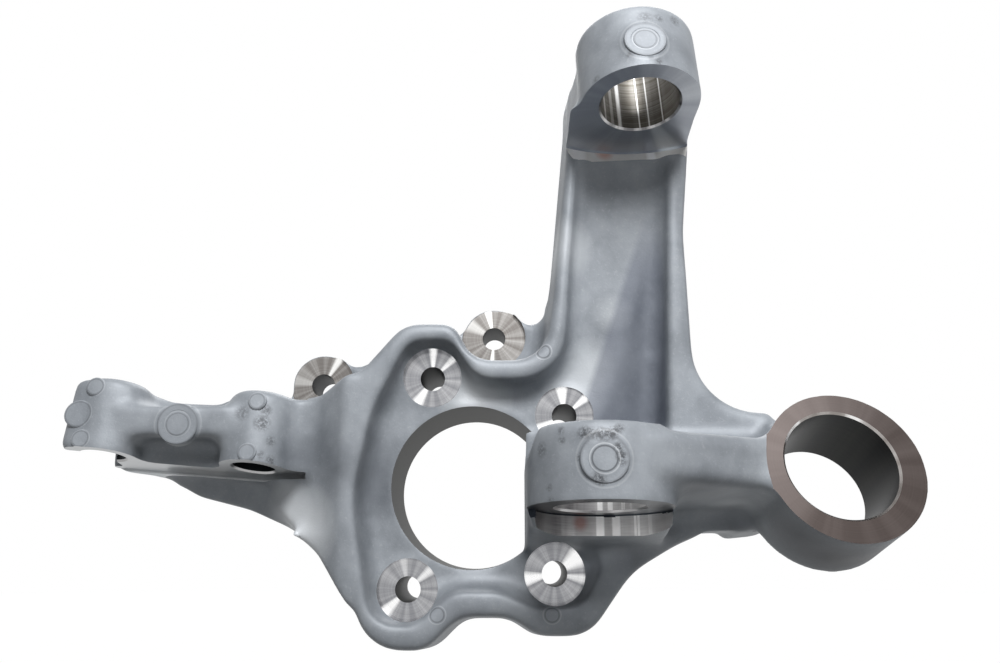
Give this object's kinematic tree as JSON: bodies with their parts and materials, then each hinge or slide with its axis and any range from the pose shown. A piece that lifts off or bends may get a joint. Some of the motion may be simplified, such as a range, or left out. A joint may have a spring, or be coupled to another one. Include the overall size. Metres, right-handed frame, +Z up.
{
  "type": "steering knuckle",
  "caption": "Cast aluminium steering knuckle: hub bore with a bolt ring, tall arm with a bush head, middle bush boss, large eye, bolted left arm and caliper ears.",
  "frame": {"origin": "on the axis of the hub bore, in the face that the wheel hub unit bolts to", "axes": "+Y points out to the wheel along the hub bore, +Z up the tall arm, +X towards the large eye"},
  "size_m": [0.4267, 0.163, 0.3199],
  "materials": {
    "cast_aluminium": "as cast, satin, with machined faces and bores"
  },
  "bodies": {
    "root": {"knuckle": "cast_aluminium"}
  },
  "joints": []
}
